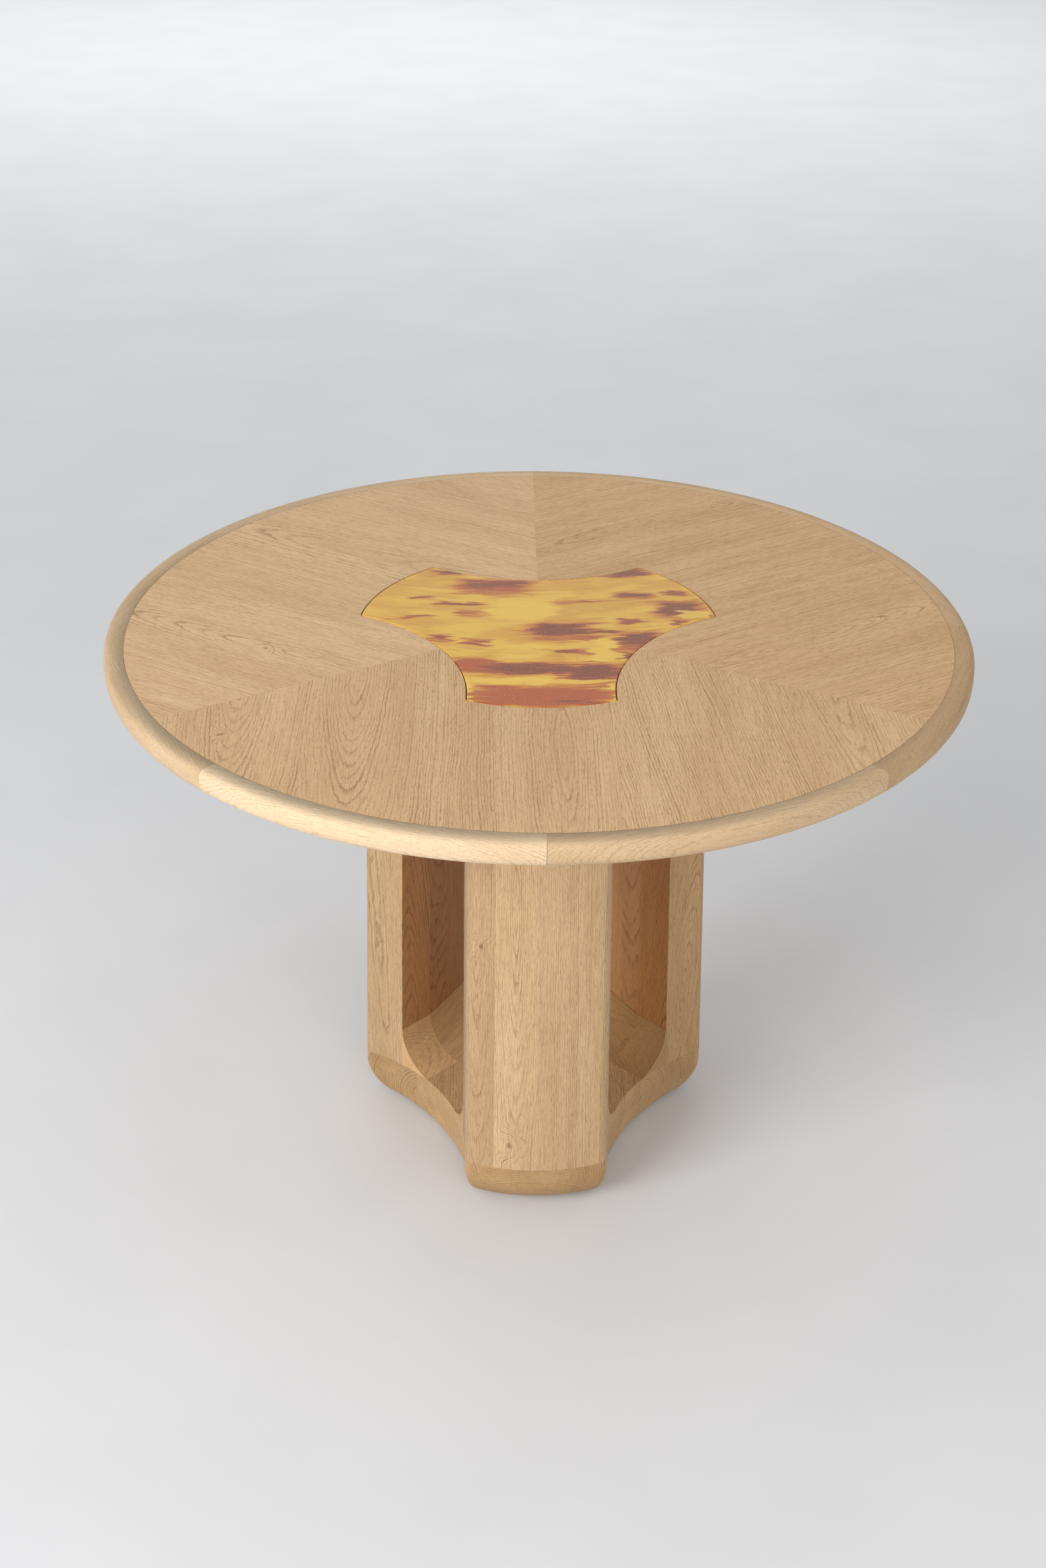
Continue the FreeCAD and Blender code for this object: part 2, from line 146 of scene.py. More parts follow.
class Graph:
    """Builds the nodes of one shader or geometry tree."""

    def __init__(self, tree: bpy.types.NodeTree) -> None:
        """Starts from a tree, whose nodes are cleared."""
        self.tree = tree
        self.tree.nodes.clear()

    def node(self, kind: str, settings: dict, inputs: dict[str | int, Value]) -> bpy.types.Node:
        """Adds a node.

        Args:
            kind: Type name of the node.
            settings: Properties that are set before the sockets.
            inputs: Values or signals of the input sockets, by name or index.

        Returns:
            The new node.
        """
        node = self.tree.nodes.new(kind)
        for name, value in settings.items():
            setattr(node, name, value)
        for name, value in inputs.items():
            if isinstance(value, Signal):
                self.tree.links.new(value.socket, node.inputs[name])
            else:
                node.inputs[name].default_value = value
        return node

    def out(self, node: bpy.types.Node, name: str | int = 0) -> Signal:
        """Signal of a node's output."""
        return Signal(self, node.outputs[name])

    def math(self, operation: str, *operands: Number) -> Signal:
        """Math node on one to three operands."""
        return self.out(self.node("ShaderNodeMath", {"operation": operation}, dict(enumerate(operands))))

    def smooth(self, value: Signal, low: float, high: float) -> Signal:
        """0 below low, 1 above high and an eased step between."""
        return self.out(self.node("ShaderNodeMapRange", {"interpolation_type": "SMOOTHSTEP"},
                                  {"Value": value, "From Min": low, "From Max": high}))

    def split(self, place: Signal) -> tuple[Signal, Signal, Signal]:
        """The three parts of a vector."""
        node = self.node("ShaderNodeSeparateXYZ", {}, {0: place})
        return self.out(node, 0), self.out(node, 1), self.out(node, 2)

    def join(self, x: Number, y: Number, z: Number) -> Signal:
        """A vector from three parts."""
        return self.out(self.node("ShaderNodeCombineXYZ", {}, {0: x, 1: y, 2: z}))

    def mapping(self, place: Signal, location: Triple, turn: Triple, scale: Triple,
                inverse: bool = False) -> Signal:
        """Moved, turned and scaled vector, or its inverse."""
        return self.out(self.node("ShaderNodeMapping", {"vector_type": "TEXTURE" if inverse else "POINT"},
                                  {"Vector": place, "Location": location, "Rotation": turn,
                                   "Scale": scale}))

    def noise(self, place: Signal, size: Triple, seed: float, detail: float = 1.0,
              roughness: float = 0.5) -> Signal:
        """Noise whose lumps have the given size along each axis of place."""
        scale = (1.0 / size[0], 1.0 / size[1], 1.0 / size[2])
        spot = self.mapping(place, (seed * 7.31, seed * 3.17, seed * 5.73), (0.0, 0.0, 0.0), scale)
        return self.out(self.node("ShaderNodeTexNoise", {}, {
            "Vector": spot, "Scale": 1.0, "Detail": detail, "Roughness": roughness}))

    def mix(self, factor: Number, first: Value, second: Value, mode: str = "MIX") -> Signal:
        """Colour between two colours."""
        first, second = (value if isinstance(value, Signal) else (*value, 1.0) for value in (first, second))
        node = self.node("ShaderNodeMix", {"data_type": "RGBA", "blend_type": mode},
                         {0: factor, 6: first, 7: second})
        return self.out(node, 2)

    def object_place(self) -> Signal:
        """Object coordinates, which are the frame's own metres."""
        return self.out(self.node("ShaderNodeTexCoord", {}, {}), "Object")

    def place_in_mm(self) -> Signal:
        """Object coordinates in millimetres."""
        none = (0.0, 0.0, 0.0)
        return self.mapping(self.object_place(), none, none, (1 / MM, 1 / MM, 1 / MM))

    def bump(self, height: Signal, depth: float, strength: float) -> Signal:
        """Normal bent by a height of 0 to 1 that stands for a depth in metres."""
        return self.out(self.node("ShaderNodeBump", {}, {
            "Height": height, "Distance": depth, "Strength": strength}))

    def surface(self, inputs: dict[str, Value]) -> None:
        """Ends a material's tree in one Principled BSDF."""
        shader = self.out(self.node("ShaderNodeBsdfPrincipled", {}, inputs))
        self.node("ShaderNodeOutputMaterial", {}, {"Surface": shader})


def new_material(name: str) -> tuple[bpy.types.Material, Graph]:
    """A material and the graph that fills its tree."""
    material = bpy.data.materials.new(name)
    material.use_nodes = True
    return material, Graph(material.node_tree)


# ---- oak --------------------------------------------------------------------------------
UP = Vector((0.0, 0.0, 1.0))
PLAIN_SHADE = (1.0, 1.0, 1.0)


@dataclass(frozen=True)
class Cut:
    """How a board or leaf was cut from the trunk, in millimetres of the board's own frame.

    The pith lies `across` the board's middle and `below` its face. It moves by `drift` across
    and by `climb` away from the face for each millimetre along the grain.
    """

    across: float = 0.0
    below: float = 90.0
    drift: float = 0.0
    climb: float = 0.04


def warmed(shade: float, warmth: float = 0.0) -> Colour:
    """Colour multiplier that makes a board lighter or darker, and yellower: partly tone, partly painted light.
    """
    return (shade, shade * (1.0 - 0.4 * warmth), shade * (1.0 - warmth))


@dataclass(frozen=True)
class Knot:
    """A small knot on a board's face, in millimetres of the board's own frame."""

    along: float
    across: float
    size: float


@dataclass(frozen=True)
class Board:
    """Placing of one board, or of leaves side by side, in the frame."""

    origin: Vector
    along: Vector
    across: Vector
    seed: float
    cuts: tuple[Cut, ...] = (Cut(),)
    joints: tuple[float, ...] = ()
    knots: tuple[Knot, ...] = ()
    tint: float = 0.0
    # Multiplier of the board's colours: partly its own tone, partly painted light and shade.
    shade: Colour = PLAIN_SHADE

    def turn(self) -> Triple:
        """Euler turn of the board's axes: along the grain, across it and out of its face."""
        face = self.along.cross(self.across)
        return tuple(Matrix((self.along, self.across, face)).transposed().to_euler())


@dataclass(frozen=True)
class OakTone:
    """Colours of one lot of oak."""

    pale: Colour
    warm: Colour
    early: Colour
    pore: Colour
    ray: Colour

    def shaded(self, share: Colour) -> "OakTone":
        """The same oak, each colour part multiplied."""
        return OakTone(*(tuple(part * change for part, change in zip(getattr(self, item.name), share))
                         for item in fields(self)))


@dataclass(frozen=True)
class Toning:
    """A colour multiplied over the faces that look one way, or that way and back."""

    facing: Vector
    colour: Colour
    both_ways: bool = False

    def mask(self, graph: Graph) -> Signal:
        """1 on the faces that look that way, 0 on the others."""
        normal = graph.out(graph.node("ShaderNodeTexCoord", {}, {}), "Normal")
        product = graph.node("ShaderNodeVectorMath", {"operation": "DOT_PRODUCT"},
                             {0: normal, 1: tuple(self.facing)})
        turned = graph.out(product, "Value")
        if self.both_ways:
            turned = turned.apply("ABSOLUTE")
        return graph.smooth(turned, 0.45, 0.85)


@dataclass(frozen=True)
class OakFinish:
    """Oiled oak, drawn as solid wood so that faces, edges and end grain agree.

    Sizes are in millimetres: along the grain, across it and out of the face. Shares say how
    strongly each mark covers the wood. `leaf_step` sets neighbouring leaves apart along the grain.
    """

    tone: OakTone
    ring_gap: float = 3.5
    sway: float = 3.5
    swell: float = 8.0
    ragged: float = 2.4
    fibre_share: float = 0.42
    early_share: float = 0.85
    dash_share: float = 0.3
    pore_share: float = 0.42
    ray_share: float = 0.2
    knot_share: float = 0.75
    seam_share: float = 0.7
    sway_size: Triple = (85.0, 120.0, 120.0)
    flutter_size: Triple = (13.0, 8.0, 8.0)
    swell_size: Triple = (190.0, 46.0, 46.0)
    ragged_size: Triple = (13.0, 4.0, 4.0)
    broad_size: Triple = (420.0, 48.0, 48.0)
    patchy_size: Triple = (60.0, 14.0, 14.0)
    fibre_size: Triple = (110.0, 1.4, 1.4)
    dash_size: Triple = (30.0, 0.95, 0.95)
    pore_size: Triple = (9.0, 0.6, 0.6)
    ray_size: Triple = (11.0, 0.8, 34.0)
    ray_fan: float = 80.0
    leaf_step: float = 613.0
    roughness: float = 0.5
    relief: float = 0.25 * MM

    def dress(self, name: str, board: Board, seam_radius: float = 0.0,
              painted_shade_and_end_grain: Toning | None = None) -> bpy.types.Material:
        """Makes the material of one board.

        Args:
            name: Name of the material.
            board: Placing and cut of the board.
            seam_radius: Radius in metres of a fine dark joint line about the table's axis, or 0.
            painted_shade_and_end_grain: Faces made darker, or None: painted shade on the staves' inner faces,
                end grain on the base.

        Returns:
            The finished material.
        """
        material, graph = new_material(name)
        spot = graph.object_place()
        place = graph.mapping(spot, tuple(board.origin), board.turn(), (MM, MM, MM), inverse=True)
        colour, height, rough = self.figure(graph, place, board)
        if seam_radius:
            line = self.joint_line(graph, spot, seam_radius)
            colour = graph.mix(line * self.seam_share, colour, self.tone.pore)
            height = height - line
        # Multiplies a colour over the faces that look one way: painted shade on the staves' inner faces,
        # darker end grain on the base.
        if painted_shade_and_end_grain is not None:
            colour = graph.mix(painted_shade_and_end_grain.mask(graph), colour, painted_shade_and_end_grain.colour, "MULTIPLY")
        graph.surface({"Base Color": colour, "Roughness": rough, "Specular IOR Level": 0.35,
                       "Normal": graph.bump(height, self.relief, 0.4)})
        return material

    @staticmethod
    def joint_line(graph: Graph, spot: Signal, radius: float) -> Signal:
        """Mask of a fine line at a radius from the table's axis."""
        x, y, _ = graph.split(spot)
        gap = ((x * x + y * y).apply("SQRT") - radius).apply("ABSOLUTE")
        return 1.0 - graph.smooth(gap, 0.1 * MM, 0.6 * MM)

    @staticmethod
    def stepped(y: Signal, board: Board, name: str) -> Number:
        """A cut's value, which changes where one leaf meets the next."""
        values = [getattr(cut, name) for cut in board.cuts]
        result: Number = values[0]
        for joint, before, after in zip(board.joints, values, values[1:]):
            if after != before:
                result = y.apply("GREATER_THAN", joint) * (after - before) + result
        return result

    def figure(self, graph: Graph, place: Signal, board: Board) -> tuple[Signal, Signal, Signal]:
        """Draws the wood.

        Args:
            graph: Graph of the material.
            place: Board coordinates in millimetres.
            board: The board.

        Returns:
            Signals of the colour, the height and the roughness.
        """
        seed = board.seed
        x, y, z = graph.split(place)
        far_x = x + self.leaf_shift(y, board)
        sway = (graph.noise(graph.join(far_x, y * 0.5, z), self.sway_size, seed) - 0.5) * self.sway
        flutter = graph.noise(graph.join(far_x, y, z), self.flutter_size, seed + 3.0)
        flutter = (flutter - 0.5) * (self.sway * 0.3)
        y_bent = y + sway + flutter
        bent = graph.join(far_x, y_bent, z)
        radius, angle = self.trunk(graph, bent, (x, y, z), y_bent, board)
        phase, vigour = self.ring_phase(graph, radius, seed)
        early = (1.0 - graph.smooth(phase, 0.05, 0.5)) * graph.smooth(phase, 0.0, 0.06) * vigour
        patchy = graph.noise(bent, self.patchy_size, seed + 10.0, detail=2.0)
        fibre = graph.noise(bent, self.fibre_size, seed + 5.0, detail=3.0, roughness=0.6)
        broad = graph.noise(bent, self.broad_size, seed + 6.0, detail=2.0)
        dashes = graph.noise(bent, self.dash_size, seed + 7.0, detail=1.5) + early * 0.16
        dashes = graph.smooth(dashes, 0.55, 0.7)
        pores = graph.smooth(graph.noise(bent, self.pore_size, seed + 8.0) + early * 0.16, 0.56, 0.7)
        fan = graph.join(x, angle * self.ray_fan, radius)
        rays = graph.smooth(graph.noise(fan, self.ray_size, seed + 9.0), 0.62, 0.72)
        tone = self.tone.shaded(board.shade)
        colour = graph.mix(graph.smooth(broad + board.tint, 0.25, 0.75), tone.pale, tone.warm)
        colour = graph.mix(graph.smooth(fibre, 0.4, 0.75) * self.fibre_share, colour, tone.early)
        ring_mask = early * graph.smooth(patchy, 0.25, 0.75) * self.early_share
        colour = graph.mix(ring_mask, colour, tone.early)
        colour = graph.mix(dashes * self.dash_share, colour, tone.pore)
        colour = graph.mix(pores * self.pore_share, colour, tone.pore)
        colour = graph.mix(rays * self.ray_share, colour, tone.ray)
        for knot in board.knots:
            core = 1.0 - graph.smooth(self.near(x, y, knot), 0.25, 1.0)
            colour = graph.mix(core * self.knot_share, colour, tone.pore)
        height = 1.0 - pores * 0.6 - dashes * 0.3 - early * 0.15
        rough = self.roughness + pores * 0.2 + early * 0.05 - rays * 0.08
        return colour, height, rough

    @staticmethod
    def near(x: Signal, y: Signal, knot: Knot) -> Signal:
        """Distance from a knot in sizes of the knot, stretched along the grain."""
        along = (x - knot.along) / (knot.size * 1.5)
        across = (y - knot.across) / knot.size
        return (along * along + across * across).apply("SQRT")

    def leaf_shift(self, y: Signal, board: Board) -> Number:
        """Shift along the grain that sets each leaf's pattern apart from the next."""
        shift: Number = 0.0
        for joint in board.joints:
            shift = y.apply("GREATER_THAN", joint) * self.leaf_step + shift
        return shift

    def trunk(self, graph: Graph, bent: Signal, spot: tuple[Signal, Signal, Signal], y_bent: Signal,
              board: Board) -> tuple[Signal, Signal]:
        """Finds where a point lay in the trunk.

        Args:
            graph: Graph of the material.
            bent: Point with the grain's sway, for the noises.
            spot: Point in the board's frame.
            y_bent: Its place across the board with the sway.
            board: The board.

        Returns:
            Distance from the pith and angle about it.
        """
        x, y, z = spot
        pith_y = x * self.stepped(y, board, "drift") + self.stepped(y, board, "across")
        pith_z = x * self.stepped(y, board, "climb") + self.stepped(y, board, "below")
        from_y = y_bent - pith_y
        from_z = z + pith_z
        radius = (from_y * from_y + from_z * from_z).apply("SQRT")
        swell = (graph.noise(bent, self.swell_size, board.seed + 1.0, detail=1.0) - 0.5) * self.swell
        ragged = (graph.noise(bent, self.ragged_size, board.seed + 2.0, detail=2.0) - 0.5) * self.ragged
        radius = radius + swell + ragged
        for knot in board.knots:
            radius = radius + (1.0 - graph.smooth(self.near(x, y, knot), 0.0, 5.0)) * (knot.size * 3.0)
        return radius, from_z.apply("ARCTAN2", from_y)

    def ring_phase(self, graph: Graph, radius: Signal, seed: float) -> tuple[Signal, Signal]:
        """Place within the year's ring, from 0 at its start to 1, and how strongly that year shows."""
        years = radius / self.ring_gap
        uneven = graph.noise(graph.join(years, 0.0, 0.0), (3.1, 1.0, 1.0), seed + 4.0) * 1.8
        vigour = graph.noise(graph.join(years, 4.0, 0.0), (1.7, 1.0, 1.0), seed + 11.0)
        return (years + uneven).apply("FRACT"), graph.smooth(vigour, 0.3, 0.7) * 0.75 + 0.25


FIELD_TONE = OakTone(pale=(0.725, 0.50, 0.285), warm=(0.64, 0.425, 0.23), early=(0.405, 0.235, 0.108),
                     pore=(0.25, 0.13, 0.055), ray=(0.48, 0.30, 0.155))
LIGHT_TONE = OakTone(pale=(0.63, 0.47, 0.295), warm=(0.57, 0.40, 0.235), early=(0.41, 0.265, 0.135),
                     pore=(0.27, 0.155, 0.075), ray=(0.48, 0.32, 0.18))
STAVE_TONE = OakTone(pale=(0.565, 0.39, 0.22), warm=(0.49, 0.325, 0.172), early=(0.31, 0.18, 0.082),
                     pore=(0.20, 0.105, 0.045), ray=(0.40, 0.25, 0.13))
BASE_TONE = OakTone(pale=(0.615, 0.40, 0.20), warm=(0.52, 0.325, 0.153), early=(0.26, 0.136, 0.056),
                    pore=(0.18, 0.090, 0.034), ray=(0.66, 0.44, 0.24))

# Colour multiplied over the staves' inner faces, towards the table's axis: painted shade between the legs.
INNER_PAINTED_SHADE = (0.90, 0.67, 0.49)
FIELD_OAK = OakFinish(FIELD_TONE)
LIGHT_OAK = OakFinish(LIGHT_TONE, ring_gap=2.3, sway=2.0, early_share=0.6, dash_share=0.16, pore_share=0.3,
                      dash_size=(60.0, 1.0, 1.0))
STAVE_OAK = OakFinish(STAVE_TONE, ring_gap=2.6, sway=2.6, ragged=1.7, dash_size=(44.0, 0.9, 0.9))
COVE_OAK = OakFinish(BASE_TONE, ring_gap=2.4, sway=2.0, ragged=1.4, early_share=0.42, dash_share=0.12,
                     pore_share=0.22, ray_share=0.1)
BASE_OAK = OakFinish(BASE_TONE, ring_gap=3.6, ray_share=0.35, sway=1.5, swell=4.0)


# ---- other finishes -----------------------------------------------------------------------
@dataclass(frozen=True)
class Patch:
    """A patch of one glaze colour: middle and half sizes in millimetres of the tabletop."""

    x: float
    y: float
    length: float
    depth: float
    strength: float = 1.0


@dataclass(frozen=True)
class GlazeFinish:
    """Ochre glaze brushed from side to side, with rust and umber strokes under a clear gloss."""

    ochre: Colour = (0.70, 0.36, 0.022)
    straw: Colour = (0.86, 0.54, 0.055)
    amber: Colour = (0.60, 0.225, 0.012)
    rust: Colour = (0.45, 0.080, 0.008)
    umber: Colour = (0.20, 0.040, 0.008)
    umber_patches: tuple[Patch, ...] = (
        Patch(-14, -126, 82, 20), Patch(66, -134, 34, 30), Patch(31, -14, 46, 26), Patch(82, -19, 22, 7),
        Patch(184, 51, 34, 28), Patch(126, -44, 32, 26, 0.9), Patch(103, -90, 22, 12, 0.9),
        Patch(-64, 128, 54, 20, 0.85), Patch(-103, 66, 36, 6, 0.95), Patch(-150, 84, 18, 6, 0.8),
        Patch(-162, 24, 32, 6, 0.75), Patch(-84, 36, 24, 12, 0.6), Patch(-80, -53, 20, 12, 0.7),
        Patch(-125, -40, 16, 12, 0.6), Patch(115, 164, 44, 14, 0.95), Patch(-109, 168, 38, 11, 0.9),
        Patch(122, 94, 34, 15, 0.75), Patch(180, 100, 22, 10, 0.85), Patch(111, 10, 16, 9, 0.75),
        Patch(10, -77, 62, 8, 0.75), Patch(179, 10, 12, 10, 0.85), Patch(217, 30, 10, 6, 0.9),
        Patch(24, 72, 70, 5, 0.6), Patch(40, -215, 40, 10, 0.7))
    rust_patches: tuple[Patch, ...] = (
        Patch(0, -203, 98, 34), Patch(-82, -116, 26, 20), Patch(-30, -126, 80, 16, 0.8),
        Patch(126, -48, 38, 34, 0.8), Patch(-60, 118, 60, 28, 0.75), Patch(68, -142, 44, 38, 0.85),
        Patch(31, -20, 52, 34, 0.7), Patch(184, 48, 40, 34, 0.65))
    straw_patches: tuple[Patch, ...] = (
        Patch(0, -160, 96, 9), Patch(84, -72, 17, 40), Patch(203, 36, 22, 15), Patch(-20, 50, 52, 40, 0.8),
        Patch(-20, -78, 46, 34, 0.6), Patch(-92, -190, 10, 40, 0.9), Patch(94, -196, 7, 34, 0.9))

    def dress(self, name: str) -> bpy.types.Material:
        """Makes the glaze's material."""
        material, graph = new_material(name)
        place = graph.place_in_mm()
        x, y, z = graph.split(place)
        arched = y - x * x * 0.0006
        drag = (graph.noise(place, (46.0, 20.0, 40.0), 1.0, detail=3.0) - 0.5) * 26.0
        push = (graph.noise(place, (60.0, 8.0, 40.0), 6.0, detail=3.0) - 0.5) * 62.0
        brushed = graph.join(x + push, arched + drag * 0.5, z)
        torn = graph.join(x + push, y + drag, z)
        strokes = (graph.noise(brushed, (58.0, 3.0, 40.0), 2.0, detail=4.0, roughness=0.66) - 0.5) * 2.6
        threads = (graph.noise(brushed, (70.0, 1.3, 40.0), 7.0, detail=2.0) - 0.5) * 1.3
        blocks = graph.noise(brushed, (64.0, 30.0, 40.0), 3.0, detail=2.0)
        specks = graph.noise(place, (1.8, 1.8, 40.0), 4.0, detail=2.0)
        torn_edge = strokes + threads
        dark = self.patches(graph, torn, self.umber_patches)
        burnt = self.patches(graph, torn, self.rust_patches).apply("MAXIMUM", dark)
        bright = self.patches(graph, torn, self.straw_patches)
        straw = graph.smooth(bright + torn_edge * 0.35, 0.35, 0.6)
        colour = graph.mix(graph.smooth(blocks + threads * 0.1, 0.4, 0.6) * 0.65, self.ochre, self.straw)
        colour = graph.mix(graph.smooth(strokes + threads * 0.5, 0.0, 0.6) * 0.62, colour, self.amber)
        colour = graph.mix(graph.smooth(burnt + torn_edge * 0.55, 0.1, 0.45) * 0.9, colour, self.amber)
        rust = graph.smooth(burnt + torn_edge * 0.65, 0.32, 0.7)
        colour = graph.mix(rust, colour, self.rust)
        colour = graph.mix(graph.smooth(dark + torn_edge * 0.75, 0.5, 0.9) * 0.92, colour, self.umber)
        colour = graph.mix(straw * 0.85, colour, self.straw)
        grit = graph.smooth(specks, 0.58, 0.68) * rust * (1.0 - straw)
        colour = graph.mix(grit * 0.45, colour, self.ochre)
        height = strokes * 0.4 + blocks + grit * 0.4
        graph.surface({"Base Color": colour, "Roughness": 0.24 + grit * 0.15, "Coat Weight": 0.85,
                       "Coat Roughness": 0.05, "Specular IOR Level": 0.2,
                       "Normal": graph.bump(height, 0.4 * MM, 0.3)})
        return material

    @staticmethod
    def patches(graph: Graph, place: Signal, patches: tuple[Patch, ...]) -> Signal:
        """Greatest of several patches, each 1 at its middle and 0 past its rim."""
        result: Signal | None = None
        x, y, _ = graph.split(place)
        for patch in patches:
            wide = (x - patch.x) / patch.length
            deep = (y - patch.y) / patch.depth
            away = (wide.apply("POWER", 4.0) + deep.apply("POWER", 4.0)).apply("POWER", 0.25)
            soft = (1.0 - graph.smooth(away, 0.3, 1.4)) * patch.strength
            result = soft if result is None else result.apply("MAXIMUM", soft)
        return result


@dataclass(frozen=True)
class SpeckledFinish:
    """A plain hidden or lesser finish with fine mottling."""

    dark: Colour
    light: Colour
    lump: Triple
    roughness: float
    metallic: float = 0.0
    depth: float = 0.1 * MM

    def dress(self, name: str) -> bpy.types.Material:
        """Makes the material."""
        material, graph = new_material(name)
        place = graph.place_in_mm()
        fine = graph.noise(place, self.lump, 1.0, detail=3.0, roughness=0.65)
        colour = graph.mix(graph.smooth(fine, 0.3, 0.7), self.dark, self.light)
        graph.surface({"Base Color": colour, "Roughness": self.roughness + (fine - 0.5) * 0.2,
                       "Metallic": self.metallic, "Normal": graph.bump(fine, self.depth, 0.5)})
        return material


@dataclass(frozen=True)
class FloorFinish:
    """Pale studio floor that melts into the room's light far from the table."""

    dark: Colour = (0.690, 0.700, 0.717)
    light: Colour = (0.712, 0.722, 0.739)
    glow: Colour = (0.55, 0.55, 0.55)
    lump: float = 0.3
    fade_start: float = 8.5
    fade_end: float = 15.0
    roughness: float = 0.85

    def dress(self, name: str) -> bpy.types.Material:
        """Makes the material."""
        material, graph = new_material(name)
        place = graph.object_place()
        x, y, _ = graph.split(place)
        far = graph.smooth((x * x + y * y).apply("SQRT"), self.fade_start, self.fade_end)
        mottled = graph.smooth(graph.noise(place, (self.lump,) * 3, 1.0, detail=3.0), 0.3, 0.7)
        black = (0.0, 0.0, 0.0)
        colour = graph.mix(far, graph.mix(mottled, self.dark, self.light), black)
        graph.surface({"Base Color": colour, "Roughness": self.roughness + (mottled - 0.5) * 0.1,
                       "Emission Color": graph.mix(far, black, self.glow), "Emission Strength": 1.0})
        return material


STEEL = SpeckledFinish((0.42, 0.43, 0.44), (0.66, 0.67, 0.68), (2.0, 2.0, 0.4), 0.34, 1.0, 0.03 * MM)
FELT = SpeckledFinish((0.05, 0.042, 0.036), (0.13, 0.11, 0.095), (0.6, 0.6, 0.6), 0.9, depth=0.5 * MM)
CORE_BOARD = SpeckledFinish((0.36, 0.25, 0.14), (0.52, 0.38, 0.22), (1.6, 1.6, 0.5), 0.75)
ADHESIVE = SpeckledFinish((0.05, 0.046, 0.04), (0.11, 0.10, 0.09), (3.0, 3.0, 3.0), 0.6)
BEECH = SpeckledFinish((0.52, 0.34, 0.20), (0.66, 0.46, 0.30), (1.2, 1.2, 14.0), 0.6)


def dress_node(node: str, material: bpy.types.Material) -> None:
    """Puts a material in every slot of a frame node."""
    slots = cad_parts[node].data.materials
    for index in range(len(slots)):
        slots[index] = material
    if not slots:
        slots.append(material)
    LOG.info("%s: %s", node, material.name)


def islands(node: str) -> list[tuple[Vector, Vector]]:
    """Lowest and highest corner of each separate body in a frame node."""
    shell = bmesh.new()
    shell.from_mesh(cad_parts[node].data)
    bmesh.ops.remove_doubles(shell, verts=shell.verts, dist=0.01 * MM)
    unseen = set(shell.verts)
    found = []
    while unseen:
        group = [unseen.pop()]
        for vert in group:
            near = {edge.other_vert(vert) for edge in vert.link_edges} & unseen
            unseen -= near
            group += near
        low = Vector(map(min, *(vert.co for vert in group)))
        high = Vector(map(max, *(vert.co for vert in group)))
        found.append((low, high))
    shell.free()
    return sorted(found, key=lambda pair: tuple(round(part, 5) for part in pair[0]))


def settle(piece: bpy.types.Object, slot: Slot, *nodes: str) -> None:
    """Rides a finished piece on the table and hides the nodes that it stands for."""
    bpy.context.scene.collection.objects.link(piece)
    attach(piece, "root")
    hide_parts(*nodes)
    LOG.info("%s: %d faces, stands for %s", piece.name, len(piece.data.polygons), ", ".join(nodes))


# ---- geometry trees ------------------------------------------------------------------------
class Maker:
    """A geometry tree with named inputs that is run on a mesh and leaves a plain mesh."""

    def __init__(self, name: str, inputs: dict[str, str]) -> None:
        """Starts the tree.

        Args:
            name: Name of the tree.
            inputs: Names of its inputs, each with the kind of its socket.
        """
        self.tree = bpy.data.node_groups.new(name, "GeometryNodeTree")
        self.graph = Graph(self.tree)
        self.tree.interface.new_socket("Geometry", in_out="OUTPUT", socket_type="NodeSocketGeometry")
        self.tree.interface.new_socket("Geometry", in_out="INPUT", socket_type="NodeSocketGeometry")
        for title, kind in inputs.items():
            self.tree.interface.new_socket(title, in_out="INPUT", socket_type="NodeSocket" + kind)
        self.entry = self.graph.node("NodeGroupInput", {}, {})

    def given(self, name: str) -> Signal:
        """Signal of a named input."""
        return self.graph.out(self.entry, name)

    def finish(self, geometry: Signal) -> None:
        """Ends the tree in Realize Instances and Set Material."""
        graph = self.graph
        real = graph.out(graph.node("GeometryNodeRealizeInstances", {}, {"Geometry": geometry}))
        dressed = graph.node("GeometryNodeSetMaterial", {}, {
            "Geometry": real, "Material": self.given("Finish")})
        graph.node("NodeGroupOutput", {}, {"Geometry": graph.out(dressed)})

    def run(self, name: str, mesh: bpy.types.Mesh, values: dict[str, Value]) -> bpy.types.Object:
        """Runs the tree.

        Args:
            name: Name of the piece.
            mesh: Mesh that the tree starts from.
            values: Values of the named inputs.

        Returns:
            An unlinked object at the origin that holds the result as a plain mesh.
        """
        sockets = {item.name: item.identifier for item in self.tree.interface.items_tree
                   if item.item_type == "SOCKET" and item.in_out == "INPUT"}
        carrier = bpy.data.objects.new(name + "_carrier", mesh)
        bpy.context.scene.collection.objects.link(carrier)
        modifier = carrier.modifiers.new("maker", "NODES")
        modifier.node_group = self.tree
        for title, value in values.items():
            modifier[sockets[title]] = value
        bpy.context.view_layer.update()
        made = bpy.data.meshes.new_from_object(carrier.evaluated_get(bpy.context.evaluated_depsgraph_get()))
        bpy.data.objects.remove(carrier)
        made.name = name
        return bpy.data.objects.new(name, made)


def points_mesh(name: str, points: list[Vector]) -> bpy.types.Mesh:
    """Mesh of loose points."""
    mesh = bpy.data.meshes.new(name)
    mesh.from_pydata(points, [], [])
    return mesh


# ---- tabletop ---------------------------------------------------------------------------------
@dataclass(frozen=True)
class Sheet:
    """A sector of veneer: its leaves' cuts, the joints between them, its knots and its shade."""

    cuts: tuple[Cut, ...]
    joints: tuple[float, ...]
    knots: tuple[Knot, ...]
    shade: Colour
